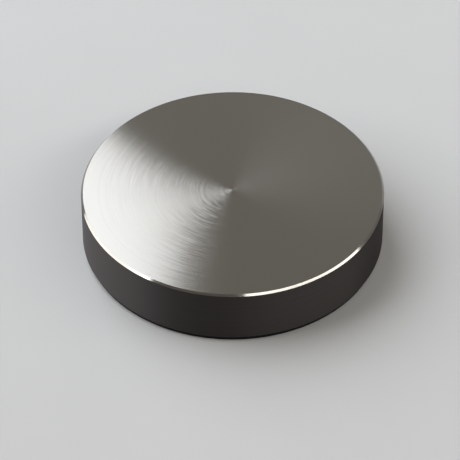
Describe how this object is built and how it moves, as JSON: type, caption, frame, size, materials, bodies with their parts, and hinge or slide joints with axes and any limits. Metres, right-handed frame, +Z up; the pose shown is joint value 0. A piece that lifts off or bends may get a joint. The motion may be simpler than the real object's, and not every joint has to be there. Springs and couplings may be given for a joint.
{
  "type": "record weight",
  "caption": "Low round turned steel weight with a blind spindle bore and a thin rubber pad below, which presses a record flat on a turntable.",
  "frame": {"origin": "centre of the pad's lower face, on the surface that the weight stands on", "axes": "+Z up along the axis of the disc and of its spindle bore; the disc looks the same from all sides, so +X and +Y are free"},
  "size_m": [0.078, 0.078, 0.0162],
  "materials": {
    "turned_steel": "turned",
    "black_rubber": "matte"
  },
  "bodies": {
    "root": {"weight_body": "turned_steel", "base_pad": "black_rubber"}
  },
  "joints": []
}
